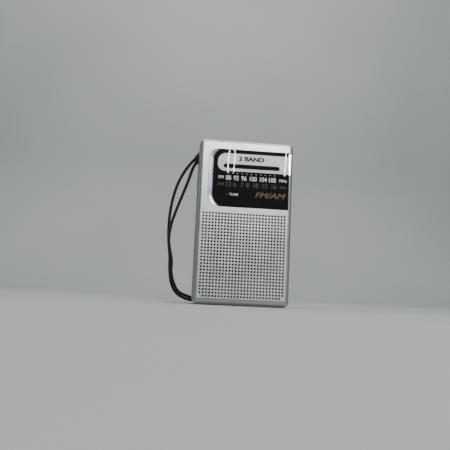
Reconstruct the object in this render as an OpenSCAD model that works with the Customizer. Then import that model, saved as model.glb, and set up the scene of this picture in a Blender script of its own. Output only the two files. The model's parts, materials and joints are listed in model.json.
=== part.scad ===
// Pocket transistor radio. Millimetres, +Z up, front faces -Y, base on z = 0, x = 0 on the centre line.

/* [Case] */
// width of the case, left to right
case_w = 68.5; // [66:0.5:90]
// height of the case, standing on its base
case_h = 119; // [100:0.5:140]
// depth from the face of the front panel to the back
case_d = 31; // [26:0.5:40]
// wall thickness of both shells
wall = 1.8; // [1.2:0.1:2.5]
// corner radius seen from the front
corner_r = 5; // [2:0.5:10]
// rounding of the edge around the front
front_edge_r = 2.5; // [1:0.25:4]
// rounding of the edge around the back
back_edge_r = 4; // [2:0.5:6]

/* [Front panel] */
// width of the raised front panel
panel_w = 63; // [50:0.5:68]
// height of the panel's lower edge
panel_bottom = 4.5; // [3:0.25:10]
// height of the panel's upper edge
panel_top = 117; // [95:0.5:138]
// spacing of the grille holes
grille_pitch = 2.25; // [2:0.05:3]
// diameter of one grille hole
grille_hole_d = 1.35; // [0.8:0.05:1.8]
// grille holes in a row, and rows
grille_count = 27; // [15:2:27]
// height of the middle of the grille
grille_z = 35.5; // [30:0.5:45]

/* [Dial window] */
// left edge of the glossy window
window_left = -23.6; // [-28:0.1:-15]
// lower edge of the window
window_bottom = 69.7; // [66:0.1:80]
// upper edge of the window
window_top = 112; // [100:0.1:114]
// radius of the window's upper left corner
window_top_r = 7; // [2:0.5:12]
// radius of the window's lower left corner
window_bottom_r = 9.5; // [2:0.5:14]
// width of the scooped trim beside the window
trim_w = 3.5; // [1:0.25:5]

/* [Controls] */
// radius of both thumbwheels
wheel_r = 14; // [12:0.5:14]
// how far a thumbwheel stands out of the case side
wheel_proud = 0.8; // [0.4:0.1:1.5]
// height of the tuning wheel's shaft
tuning_z = 87; // [82:0.5:90]
// height of the volume wheel's shaft
volume_z = 87; // [82:0.5:90]
// travel of the band switch from FM to AM
band_travel = 4; // [3:0.5:5]

/* [Speaker] */
// outer radius of the speaker frame
speaker_r = 28.5; // [24:0.5:30]
// height of the speaker's centre
speaker_z = 46.75; // [44:0.25:50]

/* [Battery bay] */
// diameter of one AA cell
cell_d = 14.3; // [13.5:0.1:14.5]
// length of one AA cell without its button
cell_len = 49; // [48:0.5:49.5]
// height of the battery door's upper edge
door_top = 36.6; // [34:0.2:38]

/* [Antenna] */
// outside radius of the widest antenna tube
antenna_r = 2.4; // [2:0.1:2.6]
// length of the widest antenna tube
antenna_len = 53.5; // [45:0.5:57]
// reduction in radius from one tube to the next
antenna_step = 0.44; // [0.4:0.01:0.46]

/* [Wrist strap] */
// diameter of the braided strap
strap_d = 2.3; // [1.5:0.1:3]

/* [Hidden] */
$fn = 64;
// clearances
gap = 0.3;
fine_gap = 0.1;
shaft_gap = 0.05;
press_gap = 0.02;

// case planes, front to back
back_y = case_d / 2;
panel_y = -case_d / 2;
shell_y = panel_y + 0.7;
seat_y = shell_y + 0.6;
inner_y = seat_y + wall;
part_y = 2;
inner_x = case_w / 2 - wall;
inner_back_y = back_y - wall;
lip_y = part_y - 1.2;
panel_groove = 0.25;

// dial stack, behind the panel's face
lens_front_y = panel_y + 0.2;
lens_back_y = lens_front_y + 0.5;
band_front_y = lens_back_y + 0.05;
band_back_y = band_front_y + 0.2;
scale_front_y = band_back_y + 0.05;
window_right = panel_w / 2;
lens_right = window_right + 1.2;

// silver band and its pointer slot
band_left = -20.7;
band_bottom = 96.1;
band_top = 109.2;
slot_left = -16.5;
slot_right = 24.5;
slot_bottom = 98.2;
slot_top = 101.4;
led_x = -13;
led_z = 79;

// thumbwheels
wheel_front_y = -9;
wheel_back_y = -6;
wheel_x = case_w / 2 + wheel_proud - wheel_r;
wheel_notches = 48;
wheel_shaft_r = 3;
drum_cord_r = 10.6;

// pointer mechanism
cord_r = 0.3;
cord_y = -9.75;
post_r = 1.2;
post_cord_r = post_r + fine_gap + cord_r;
post_left_x = -20.5;
post_right_x = 28.5;
post_z = 103.6;
cord_top_z = post_z + post_cord_r;
rail_r = 0.6;
rail_y = -11.5;
rail_z = 103;
rail_left = -18.8;
rail_right = 26.6;
pointer_x = -13.1;

// circuit board
board_front_y = 4.6;
board_back_y = 5.8;
board_half_w = 31;
board_bottom = 46;
board_top = 110;
board_screw_at = [[0, 85.5], [-27, 108], [16, 108.4]];

// ferrite rod behind the board, its coils and the arms that hold it
rod_half = 25;
rod_r = 3.4;
rod_y = 9.75;
rod_z = 103.5;
coil_r = rod_r + 0.35;
coil_spans = [[-16, 2], [7, 13]];
holder_x = [-21, 20];
holder_half_w = 1.2;

// sockets and switch on the sides
jack_y = -2.5;
jack_z = 64;
jack_bore_r = 1.85;
jack_len = 14;
switch_y = -2.5;
switch_z = 62;

// screws
case_screw_x = 30.4;
case_screw_z = 41.2;
case_boss_r = 2.3;
case_post_r = 2.9;
case_pilot_r = 1.25;
case_hole_r = 1.4;
case_recess_r = 2.7;
case_recess_y = 12;
speaker_screw_ring = 30.6;
speaker_screw_angles = [50, 130, 230, 310];

// battery bay
cell_y = 6.2;
cell_z = [11.5, 27];
bay_half_w = 29.4;
bay_wall = 1;
door_half_w = 28.6;
hinge_r = 1.3;
hinge_y = back_y - hinge_r;
hinge_z = 4.4;
hinge_pin_r = 0.6;
lug_x = 22.5;
lug_w = 3;

// antenna, lying in its channel along the back of the top
channel_y = 9.4;
channel_z = 111.7;
channel_wall = 1.4;
antenna_y = 12.6;
antenna_z = 115.2;
antenna_x = case_w / 2 - 4.5;
fork_r = 3.2;
stub_r = 2;
stub_front_y = 5;
pivot_head_r = 2.6;
pivot_boss_r = 3.4;
fork_back_y = 15.1;
tongue_r = 1.9;
tube_start = 4.3;
plug_len = 2.7;
tube_wall = 0.4;
antenna_sections = 5;

// wrist strap
anchor_y = 6.5;
anchor_z = [111.8, 107.8];
anchor_face_x = -case_w / 2;
exit_angle = 50;
ferrule_len = 2.8;
strap_exit = [for (z = anchor_z)
    [anchor_face_x - ferrule_len * cos(exit_angle), anchor_y, z - ferrule_len * sin(exit_angle)]];
strap_route = [
    [-39.75, 6.6, 105.3], [-44.4, 7.5, 98.5], [-49, 9.2, 89], [-52, 11, 78], [-53.6, 13, 67],
    [-54, 15, 56], [-53.4, 17, 45], [-52, 19.5, 34.5], [-50, 22.5, 25], [-47, 26, 15.5],
    [-42, 29.5, 8], [-35.5, 33, 3.2], [-28, 35.7, 1.5], [-21, 37, 1.2], [-14, 37.1, 1.2],
    [-7.4, 34.4, 1.2], [-4.7, 27.8, 1.2], [-7.4, 21.2, 1.2], [-14, 18.5, 1.2], [-21, 18.8, 1.2],
    [-28, 20, 1.5], [-35, 21, 4.4], [-41, 20.6, 9.5], [-45.5, 19.2, 16], [-48.3, 17.6, 23.5],
    [-50.3, 15.8, 31], [-52, 14, 39], [-53.3, 12.2, 47], [-52.2, 10.2, 57.5], [-49.2, 8.2, 68],
    [-45.2, 6.8, 79.5], [-41.3, 6.2, 91], [-38.5, 6.4, 100.5]];

// ---------- helpers ----------

// a flat shape drawn in x and z, filling the depth from y0 to y1
module plate(y0, y1) {
    translate([0, y1, 0])
        rotate([90, 0, 0])
            linear_extrude(y1 - y0)
                children();
}

// a box between two corners
module block(low, high) {
    translate(low)
        cube(high - low);
}

// a round bar along Y
module bar_y(x, z, y0, y1, r) {
    translate([x, y1, z])
        rotate([90, 0, 0])
            cylinder(h = y1 - y0, r = r);
}

// a round bar along X
module bar_x(x0, x1, y, z, r) {
    translate([x0, y, z])
        rotate([0, 90, 0])
            cylinder(h = x1 - x0, r = r);
}

// a rectangle whose corners at low v and at high v have their own radii
module soft_rect(u0, u1, v0, v1, r_low, r_high) {
    for (u = [u0 + r_low, u1 - r_low])
        translate([u, v0 + r_low])
            circle(r_low);
    for (u = [u0 + r_high, u1 - r_high])
        translate([u, v1 - r_high])
            circle(r_high);
    translate([u0 + r_low, v0])
        square([u1 - u0 - 2 * r_low, r_low]);
    translate([u0 + r_high, v1 - r_high])
        square([u1 - u0 - 2 * r_high, r_high]);
    translate([u0, v0 + r_low])
        square([u1 - u0, v1 - v0 - r_low - r_high]);
}

// the case's outer form, made smaller all round by inset
module case_block(inset) {
    half_w = case_w / 2 - inset;
    low = inset;
    high = case_h - inset;
    front = inset > 0 ? inner_y : shell_y;
    rear = back_y - inset;
    r_corner = corner_r - inset;
    r_front = max(front_edge_r - inset, 0.5);
    r_back = back_edge_r - inset;
    intersection() {
        plate(front, rear)
            soft_rect(-half_w, half_w, low, high, r_corner, r_corner);
        translate([0, 0, low])
            linear_extrude(high - low)
                soft_rect(-half_w, half_w, front, rear, r_front, r_back);
        translate([half_w, 0, 0])
            rotate([0, -90, 0])
                linear_extrude(2 * half_w)
                    soft_rect(low, high, front, rear, r_front, r_back);
    }
}

// everything in front of, or behind, a plane across the case
module slab_y(y0, y1) {
    block([-case_w, y0, -case_h], [case_w, y1, 2 * case_h]);
}

// outline with a straight right end and two rounded corners on the left
module left_rounded(left, right, bottom, top, r_bottom, r_top) {
    r_max = max(r_bottom, r_top);
    translate([left + r_bottom, bottom + r_bottom])
        circle(r_bottom);
    translate([left + r_top, top - r_top])
        circle(r_top);
    translate([left, bottom + r_bottom])
        square([r_max, top - bottom - r_bottom - r_top]);
    translate([left + r_bottom, bottom])
        square([right - left - r_bottom, r_bottom]);
    translate([left + r_top, top - r_top])
        square([right - left - r_top, r_top]);
    translate([left + r_max, bottom])
        square([right - left - r_max, top - bottom]);
}

module window_outline(grow = 0, shift = 0) {
    left_rounded(window_left - shift - grow, window_right + 2, window_bottom - grow,
        window_top + grow, window_bottom_r + grow, window_top_r + grow);
}

// the window's outline a hair smaller, cut off at a right-hand edge
module trimmed_window(right) {
    intersection() {
        window_outline(-0.05);
        translate([-case_w, 0])
            square([case_w + right, case_h]);
    }
}

module panel_outline(grow = 0) {
    soft_rect(-panel_w / 2 - grow, panel_w / 2 + grow, panel_bottom - grow, panel_top + grow,
        1 + grow, 1.5 + grow);
}

// a slot with round ends along x
module round_slot(left, right, bottom, top) {
    r = (top - bottom) / 2;
    for (x = [left + r, right - r])
        translate([x, bottom + r])
            circle(r);
    translate([left + r, bottom])
        square([right - left - 2 * r, top - bottom]);
}

// smooth curve through a list of points, a few steps to each
function curve_point(p, i, t) =
    let (n = len(p),
         a = p[max(i - 1, 0)], b = p[i], c = p[min(i + 1, n - 1)], d = p[min(i + 2, n - 1)])
    0.5 * (2 * b + (c - a) * t + (2 * a - 5 * b + 4 * c - d) * t * t
        + (3 * b - a - 3 * c + d) * t * t * t);
function smooth_path(p, steps) = concat(
    [for (i = [0:len(p) - 2]) for (s = [0:steps - 1]) curve_point(p, i, s / steps)],
    [p[len(p) - 1]]);
function unit(v) = v / norm(v);
function path_tangent(p, i) = unit(p[min(i + 1, len(p) - 1)] - p[max(i - 1, 0)]);
function loop_tangent(p, i) = unit(p[(i + 1) % len(p)] - p[(i + len(p) - 1) % len(p)]);
function tube_ring(centre, along, side, r, sides) =
    let (u = unit(side - along * (side * along)), v = cross(along, u))
    [for (k = [0:sides - 1])
        centre + r * (u * cos(360 * k / sides) + v * sin(360 * k / sides))];

// a round tube along an open path, with flat ends
module tube(p, r, sides, side, first, last) {
    n = len(p);
    along = [for (i = [0:n - 1]) i == 0 ? first : i == n - 1 ? last : path_tangent(p, i)];
    rings = [for (i = [0:n - 1]) each tube_ring(p[i], along[i], side, r, sides)];
    faces = concat(
        [[for (k = [0:sides - 1]) sides - 1 - k]],
        [for (i = [0:n - 2]) for (k = [0:sides - 1])
            let (a = i * sides + k, b = i * sides + (k + 1) % sides) each
            [[a, b, b + sides], [a, b + sides, a + sides]]],
        [[for (k = [0:sides - 1]) (n - 1) * sides + k]]);
    polyhedron(points = rings, faces = [for (f = faces) [for (k = [len(f) - 1:-1:0]) f[k]]]);
}

// a round tube along a closed loop
module loop_tube(p, r, sides, side) {
    n = len(p);
    rings = [for (i = [0:n - 1]) each tube_ring(p[i], loop_tangent(p, i), side, r, sides)];
    faces = [for (i = [0:n - 1]) for (k = [0:sides - 1])
        let (a = i * sides + k, b = i * sides + (k + 1) % sides,
             c = ((i + 1) % n) * sides + (k + 1) % sides, d = ((i + 1) % n) * sides + k)
        each [[a, c, b], [a, d, c]]];
    polyhedron(points = rings, faces = faces);
}

// a countersunk or pan head screw along Y, with its head at the back
module screw_y(x, z, tip_y, under_head_y, head_y, shank_r, head_r) {
    difference() {
        union() {
            bar_y(x, z, tip_y, under_head_y + fine_gap, shank_r);
            bar_y(x, z, under_head_y, head_y, head_r);
        }
        for (turn = [0, 90])
            translate([x, head_y, z])
                rotate([0, turn, 0])
                    cube([head_r * 1.3, 1, 0.5], center = true);
    }
}

// ---------- case ----------

module wheel_space(x, z) {
    bar_y(x, z, wheel_front_y - gap, wheel_back_y + gap, wheel_r + gap);
}

module front_shell() {
    boss_back_y = 6;
    rail_blocks = [rail_left, rail_right - 1.4];
    color("silver")
    difference() {
        union() {
            difference() {
                case_block(0);
                case_block(wall);
                slab_y(part_y, case_d);
                // rebate for the rear shell's lip
                intersection() {
                    case_block(wall / 2 - fine_gap / 2);
                    slab_y(lip_y - fine_gap, case_d);
                }
            }
            for (side = [-1, 1])
                bar_y(side * case_screw_x, case_screw_z, inner_y, boss_back_y, case_boss_r);
            for (at = board_screw_at)
                bar_y(at[0], at[1], inner_y, board_front_y, 1.9);
            for (angle = speaker_screw_angles)
                bar_y(speaker_screw_ring * cos(angle), speaker_z + speaker_screw_ring * sin(angle),
                    inner_y, inner_y + 1, 1.8);
            for (x = rail_blocks)
                block([x, inner_y, rail_z - 1.4], [x + 1.4, rail_y + 0.9, rail_z + 1.4]);
        }
        // seat for the front panel
        plate(shell_y - 1, seat_y)
            panel_outline(panel_groove);
        // speaker opening
        bar_y(0, speaker_z, shell_y, inner_y + 0.5, speaker_r - 2.2);
        // pointer slot and tuning lamp hole
        plate(shell_y, inner_y + 0.5)
            round_slot(slot_left - 1, slot_right + 1, slot_bottom - 1.2, slot_top + 1.2);
        bar_y(led_x, led_z, shell_y, inner_y + 0.5, 1.6);
        // thumbwheels
        wheel_space(wheel_x, tuning_z);
        wheel_space(-wheel_x, volume_z);
        // band switch: finger recess and slot
        block([case_w / 2 - 0.9, switch_y - 2.5, switch_z - 6],
            [case_w / 2 + 1, switch_y + 2.5, switch_z + 6]);
        block([inner_x - 1, switch_y - 1.2, switch_z - band_travel / 2 - 2.6],
            [case_w / 2, switch_y + 1.2, switch_z + band_travel / 2 + 2.6]);
        // earphone socket
        bar_x(-case_w / 2 - 1, -inner_x + 1, jack_y, jack_z, 2.7);
        // screw pilots
        for (side = [-1, 1])
            bar_y(side * case_screw_x, case_screw_z, 0, boss_back_y + 1, case_pilot_r);
        for (at = board_screw_at)
            bar_y(at[0], at[1], 0, board_front_y + 1, 0.95);
        for (angle = speaker_screw_angles)
            bar_y(speaker_screw_ring * cos(angle), speaker_z + speaker_screw_ring * sin(angle),
                inner_y - 0.8, inner_y + 2, 0.95);
        // rail bores
        bar_x(rail_left - 1, rail_right + 1, rail_y, rail_z, rail_r + press_gap);
    }
}

module battery_bay_walls() {
    for (side = [-1, 1])
        translate([side * (bay_half_w + bay_wall / 2), 0, 0])
            block([-bay_wall / 2, part_y, wall], [bay_wall / 2, inner_back_y + 0.1, door_top + 0.8]);
    block([-bay_half_w - bay_wall, part_y, door_top - 0.2],
        [bay_half_w + bay_wall, inner_back_y + 0.1, door_top + 0.8]);
}

module hinge_lugs() {
    for (side = [-1, 1])
        translate([side * lug_x, 0, 0]) {
            bar_x(-lug_w / 2, lug_w / 2, hinge_y, hinge_z, hinge_r - 0.1);
            block([-lug_w / 2, hinge_y - hinge_r + 0.1, wall - 0.5],
                [lug_w / 2, hinge_y, hinge_z]);
        }
}

module rear_shell() {
    post_front_y = 6.2;
    color("lightgray")
    difference() {
        union() {
            difference() {
                case_block(0);
                difference() {
                    case_block(wall);
                    // walls of the antenna channel
                    block([-case_w, channel_y - channel_wall, channel_z - channel_wall],
                        [case_w, case_d, 2 * case_h]);
                }
                slab_y(-case_d, part_y);
                // battery door opening
                block([-door_half_w - gap, inner_back_y - 1, hinge_z - hinge_r - gap],
                    [door_half_w + gap, case_d, door_top + gap]);
            }
            // lip inside the front shell
            intersection() {
                difference() {
                    case_block(wall / 2 + fine_gap / 2);
                    case_block(wall);
                }
                slab_y(lip_y, part_y);
            }
            for (side = [-1, 1])
                bar_y(side * case_screw_x, case_screw_z, post_front_y, inner_back_y + 0.1,
                    case_post_r);
            bar_y(antenna_x, antenna_z, stub_front_y, channel_y - channel_wall + 0.1, pivot_boss_r);
            battery_bay_walls();
            hinge_lugs();
        }
        // antenna channel, open above, behind and at both ends
        block([-case_w, channel_y, channel_z], [case_w, case_d, 2 * case_h]);
        // antenna pivot bearing, and room in the wall for its screw's head
        bar_y(antenna_x, antenna_z, 0, channel_y + 1, stub_r + shaft_gap);
        bar_y(antenna_x, antenna_z, 0, stub_front_y, pivot_head_r + fine_gap);
        // case screws: through hole and head recess
        for (side = [-1, 1]) {
            bar_y(side * case_screw_x, case_screw_z, 0, case_d, case_hole_r);
            bar_y(side * case_screw_x, case_screw_z, case_recess_y, case_d, case_recess_r);
        }
        // hinge pin
        bar_x(-door_half_w, door_half_w, hinge_y, hinge_z, hinge_pin_r + press_gap);
        // strap anchor stem
        block([-case_w, anchor_y - 1.3, anchor_z[1] - 0.8], [-inner_x + 1, anchor_y + 1.3, anchor_z[0] + 0.4]);
        // thumb notch above the battery door
        bar_y(0, door_top + 1.5, back_y - 0.7, case_d, 5);
    }
}

module grille_holes() {
    half = (grille_count - 1) / 2;
    for (row = [-half:half])
        for (column = [-half:half])
            if (row > -half || abs(column) < half)
                translate([column * grille_pitch, grille_z + row * grille_pitch])
                    circle(d = grille_hole_d, $fn = 20);
}

module front_panel() {
    color("gainsboro")
    plate(panel_y, seat_y)
        difference() {
            panel_outline();
            window_outline(0, trim_w);
            grille_holes();
        }
}

module window_trim() {
    color("silver")
    plate(panel_y + 0.5, seat_y)
        difference() {
            window_outline(-0.05, trim_w);
            window_outline(0.05);
            translate([window_left + 12, 0])
                square([case_w, case_h]);
        }
}

// ---------- dial ----------

module dial_lens() {
    // at its right end it laps over the rim of the case
    color([0.1, 0.1, 0.1, 0.4])
    plate(lens_front_y, lens_back_y)
        trimmed_window(lens_right);
}

module pointer_slot() {
    round_slot(slot_left, slot_right, slot_bottom, slot_top);
}

module dial_band() {
    color("silver")
    plate(band_front_y, band_back_y)
        difference() {
            left_rounded(band_left, window_right - 0.1, band_bottom, band_top, 5, 6);
            pointer_slot();
        }
}

module dial_scale() {
    color("black")
    plate(scale_front_y, seat_y)
        difference() {
            trimmed_window(window_right - 0.1);
            pointer_slot();
            translate([led_x, led_z])
                circle(0.9);
        }
}

module dial_pointer() {
    half = 0.35;
    color("white") {
        block([pointer_x - half, seat_y + gap, slot_bottom - 0.6],
            [pointer_x + half, seat_y + 0.9, slot_top + 0.6]);
        block([pointer_x - half, seat_y + 0.9, slot_top - 0.8],
            [pointer_x + half, rail_y - 0.1, slot_top + 0.5]);
    }
}

module pointer_carriage() {
    half = 2.5;
    front = rail_y - 0.7;
    low = slot_top + 0.5;
    color("dimgray")
    difference() {
        block([pointer_x - half, front, low], [pointer_x + half, cord_y + 0.55, cord_top_z + 1]);
        bar_x(pointer_x - 2 * half, pointer_x + 2 * half, rail_y, rail_z, rail_r + shaft_gap);
        block([pointer_x - 2 * half, cord_y - cord_r - 0.2, cord_top_z - cord_r - 0.2],
            [pointer_x + 2 * half, 0, cord_top_z + cord_r + 0.2]);
    }
}

module pointer_rail() {
    color("silver")
        bar_x(rail_left, rail_right, rail_y, rail_z, rail_r);
}

module cord_posts() {
    color("white")
    for (x = [post_left_x, post_right_x]) {
        bar_y(x, post_z, inner_y, cord_y + 0.8, post_r);
        bar_y(x, post_z, cord_y + 0.8, cord_y + 1.3, post_r + 0.9);
    }
}

// angle of the outward normal of the outer tangent from circle a to circle b
function belt_angle(a, ra, b, rb) =
    atan2(b[1] - a[1], b[0] - a[0]) + 90 - asin((ra - rb) / norm(b - a));
function arc_points(c, r, from, to, steps) = [for (s = [0:steps])
    let (angle = from + (to - from) * s / steps)
    [c[0] + r * cos(angle), cord_y, c[1] + r * sin(angle)]];

module dial_cord() {
    left_post = [post_left_x, post_z];
    right_post = [post_right_x, post_z];
    drum = [wheel_x, tuning_z];
    // clockwise seen from the front: along the top, down to the drum, round it and back
    right_normal = belt_angle(right_post, post_cord_r, drum, drum_cord_r);
    left_normal = belt_angle(drum, drum_cord_r, left_post, post_cord_r) - 360;
    route = concat(
        arc_points(left_post, post_cord_r, left_normal + 360, 90, 6),
        arc_points(right_post, post_cord_r, 90, right_normal, 6),
        arc_points(drum, drum_cord_r, right_normal, left_normal, 14));
    color("ivory")
        loop_tube(route, cord_r, 6, [0, 1, 0]);
}

module knurled_disc(x, z) {
    plate(wheel_front_y, wheel_back_y)
        difference() {
            translate([x, z])
                circle(wheel_r);
            for (i = [0:wheel_notches - 1])
                translate([x + (wheel_r + 0.15) * cos(360 * i / wheel_notches),
                    z + (wheel_r + 0.15) * sin(360 * i / wheel_notches)])
                    circle(r = 0.45, $fn = 20);
        }
}

module tuning_wheel() {
    color("gray")
    difference() {
        union() {
            knurled_disc(wheel_x, tuning_z);
            bar_y(wheel_x, tuning_z, wheel_front_y - 1.5, wheel_front_y, drum_cord_r - cord_r - 0.1);
            bar_y(wheel_x, tuning_z, wheel_front_y - 1.9, wheel_front_y - 1.5, drum_cord_r + 0.6);
            bar_y(wheel_x, tuning_z, wheel_back_y, -1, wheel_shaft_r);
        }
        bar_y(wheel_x, tuning_z, -case_d, -5, 1.25);
    }
}

module tuning_screw() {
    head_back_y = wheel_front_y - 1.9;
    color("silver")
    difference() {
        union() {
            bar_y(wheel_x, tuning_z, head_back_y - 1.1, head_back_y, 2.2);
            bar_y(wheel_x, tuning_z, head_back_y, -5.2, 1.2);
        }
        translate([wheel_x, head_back_y - 1.1, tuning_z])
            cube([5, 0.8, 0.6], center = true);
    }
}

module tuning_capacitor() {
    half = 10;
    front = wheel_back_y + 0.4;
    color("white")
    difference() {
        block([wheel_x - half, front, tuning_z - half],
            [wheel_x + half, board_front_y, tuning_z + half]);
        bar_y(wheel_x, tuning_z, front - 1, -0.7, wheel_shaft_r + shaft_gap);
    }
}

module volume_wheel() {
    color("gray")
    difference() {
        union() {
            knurled_disc(-wheel_x, volume_z);
            bar_y(-wheel_x, volume_z, wheel_back_y, -2, wheel_shaft_r);
        }
        bar_y(-wheel_x, volume_z, -case_d, -4, 1.25);
    }
}

module volume_screw() {
    color("silver")
    difference() {
        union() {
            bar_y(-wheel_x, volume_z, wheel_front_y - 1, wheel_front_y, 2.2);
            bar_y(-wheel_x, volume_z, wheel_front_y, -4.2, 1.2);
        }
        translate([-wheel_x, wheel_front_y - 1, volume_z])
            cube([5, 0.8, 0.6], center = true);
    }
}

module volume_control() {
    front = wheel_back_y + 0.4;
    color("tan")
    difference() {
        union() {
            bar_y(-wheel_x, volume_z, front, -0.8, 7.5);
            for (step = [-1:1])
                block([-wheel_x + 3 * step - 0.5, -1, volume_z - 7],
                    [-wheel_x + 3 * step + 0.5, board_front_y, volume_z - 6.5]);
        }
        bar_y(-wheel_x, volume_z, front - 1, -1.7, wheel_shaft_r + shaft_gap);
    }
}

module band_switch_knob() {
    // stored at the upper, FM end of its travel
    z = switch_z + band_travel / 2;
    color("dimgray")
    difference() {
        union() {
            block([inner_x - 0.2, switch_y - 0.9, z - 2.2],
                [case_w / 2 - 0.2, switch_y + 0.9, z + 2.2]);
            block([inner_x - 2.2, switch_y - 0.5, z - 0.8], [inner_x, switch_y + 0.5, z + 0.8]);
        }
        for (step = [-1:1])
            block([case_w / 2 - 0.5, -case_d, z + step * 1.2 - 0.2],
                [case_w, case_d, z + step * 1.2 + 0.2]);
    }
}

module band_switch_body() {
    front_x = inner_x - 0.5;
    color("silver")
    difference() {
        block([front_x - 5, switch_y - 3, switch_z - 6], [front_x, switch_y + 3, switch_z + 6]);
        block([front_x - 2.2, switch_y - 0.8, switch_z - band_travel / 2 - 1.2],
            [front_x + 1, switch_y + 0.8, switch_z + band_travel / 2 + 1.2]);
    }
}

// ---------- electronics ----------

module circuit_board() {
    color("darkkhaki")
    plate(board_front_y, board_back_y)
        difference() {
            translate([-board_half_w, board_bottom])
                square([2 * board_half_w, board_top - board_bottom]);
            for (at = board_screw_at)
                translate(at)
                    circle(1.1);
            for (x = [-board_half_w, board_half_w])
                translate([x, board_top])
                    circle(3);
        }
}

module radio_chip() {
    legs = 10;
    color("black") {
        block([-4, board_back_y + 0.6, 60], [4, board_back_y + 3.4, 82]);
        for (i = [0:legs - 1])
            for (side = [-1, 1])
                translate([side * 4.6, 0, 62 + 2 * i])
                    block([-0.6, board_back_y, -0.3], [0.6, board_back_y + 2, 0.3]);
    }
}

module coil_cans() {
    half = 3.5;
    color("silver")
    for (at = [[-22, 72], [-22, 62], [-13, 56], [14, 92]])
        difference() {
            block([at[0] - half, board_back_y, at[1] - half],
                [at[0] + half, board_back_y + 7.2, at[1] + half]);
            bar_y(at[0], at[1], board_back_y + 6, case_d, 1.7);
        }
}

module electrolytic_capacitors() {
    color("navy")
    for (at = [[14, 54, 3.2], [22, 54, 3.2], [12, 64, 2.5], [20, 64, 2.5], [26, 72, 2.5]])
        bar_y(at[0], at[1], board_back_y, board_back_y + 7.4, at[2]);
}

module ceramic_filters() {
    color("orange")
    for (at = [[-12, 88], [-3, 92]])
        block([at[0] - 3.5, board_back_y, at[1] - 1.3], [at[0] + 3.5, board_back_y + 6.5, at[1] + 1.3]);
}

module ferrite_rod() {
    color("dimgray")
        bar_x(-rod_half, rod_half, rod_y, rod_z, rod_r);
}

module ferrite_coil() {
    color("peru")
    for (span = coil_spans)
        difference() {
            bar_x(span[0], span[1], rod_y, rod_z, coil_r);
            bar_x(span[0] - 1, span[1] + 1, rod_y, rod_z, rod_r + press_gap);
        }
}

module ferrite_holders() {
    color("white")
    for (x = holder_x) {
        left = x - holder_half_w;
        right = x + holder_half_w;
        difference() {
            union() {
                bar_x(left, right, rod_y, rod_z, coil_r);
                block([left, board_back_y, rod_z - 2.5], [right, rod_y, rod_z + 2.5]);
            }
            bar_x(left - 1, right + 1, rod_y, rod_z, rod_r + press_gap);
        }
    }
}

module tune_lamp() {
    color("red")
        bar_y(led_x, led_z, seat_y + 0.1, inner_y + 1.8, 1.5);
}

module earphone_jack() {
    color("dimgray")
    difference() {
        union() {
            bar_x(-case_w / 2, -inner_x + 1, jack_y, jack_z, 2.6);
            block([-inner_x + 0.1, jack_y - 4, jack_z - 4],
                [-case_w / 2 + jack_len + 0.8, jack_y + 4, jack_z + 4]);
        }
        bar_x(-case_w / 2 - 1, -case_w / 2 + jack_len, jack_y, jack_z, jack_bore_r);
    }
}

// ---------- speaker ----------

// a ring-shaped solid about the speaker's axis, drawn as radius and distance from the flange
module speaker_turned() {
    translate([0, inner_y, speaker_z])
        rotate([-90, 0, 0])
            rotate_extrude($fn = 72)
                children();
}

module speaker_cloth() {
    color("black")
        bar_y(0, speaker_z, seat_y, seat_y + 0.3, speaker_r - 2.3);
}

module speaker_frame() {
    rim = speaker_r - 2.7;
    color("gray")
    difference() {
        speaker_turned()
            polygon([[rim, 0], [speaker_r, 0], [speaker_r, 1], [27, 1], [13.5, 7.8], [8, 7.8],
                [8, 7], [13, 7], [rim, 1]]);
        for (angle = [45:90:315])
            translate([0, inner_y + 4.2, speaker_z])
                rotate([0, angle, 0])
                    translate([19, 0, 0])
                        cube([9, 5, 12], center = true);
    }
}

module speaker_cone() {
    color("black")
        speaker_turned()
            polygon([[0, 3.6], [5, 4.4], [6, 4.9], [25.5, 0.5], [25.5, 0.9], [6, 5.3], [4.8, 4.8],
                [0, 4]]);
}

module speaker_magnet() {
    color("dimgray")
        speaker_turned()
            polygon([[0, 6.2], [7.8, 6.2], [7.8, 7.8], [12.5, 7.8], [12.5, 12.6], [11, 12.6],
                [11, 13.6], [0, 13.6]]);
}

module speaker_screws() {
    color("silver")
    for (angle = speaker_screw_angles)
        screw_y(speaker_screw_ring * cos(angle), speaker_z + speaker_screw_ring * sin(angle),
            inner_y - 0.6, inner_y + 1, inner_y + 2.2, 0.9, 3);
}

// ---------- battery bay ----------

module battery_door() {
    color("lightgray")
    difference() {
        union() {
            block([-door_half_w, inner_back_y + 0.2, hinge_z], [door_half_w, back_y, door_top]);
            bar_x(-door_half_w, door_half_w, hinge_y, hinge_z, hinge_r);
        }
        for (side = [-1, 1])
            translate([side * lug_x, 0, 0])
                block([-lug_w / 2 - 0.2, 0, 0], [lug_w / 2 + 0.2, case_d, hinge_z + 1.6]);
        bar_x(-case_w, case_w, hinge_y, hinge_z, hinge_pin_r + shaft_gap);
        // grip grooves near the upper edge
        for (i = [0:4])
            block([-9, back_y - 0.4, door_top - 3 - 1.6 * i], [9, case_d, door_top - 2.3 - 1.6 * i]);
    }
}

module door_hinge_pin() {
    color("silver")
        bar_x(-27.5, 27.5, hinge_y, hinge_z, hinge_pin_r);
}

// one AA cell along X; turn is 1 with its button to the right, -1 to the left
module cell(z, turn) {
    half = cell_len / 2;
    turn_deg = turn > 0 ? 0 : 180;
    color("darkgreen")
    translate([0, cell_y, z])
        rotate([0, turn_deg, 0]) {
            bar_x(-half, half, 0, 0, cell_d / 2);
            bar_x(half, half + 1.5, 0, 0, 2.7);
        }
}

module upper_cell() {
    cell(cell_z[1], -1);
}

module lower_cell() {
    cell(cell_z[0], 1);
}

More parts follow.
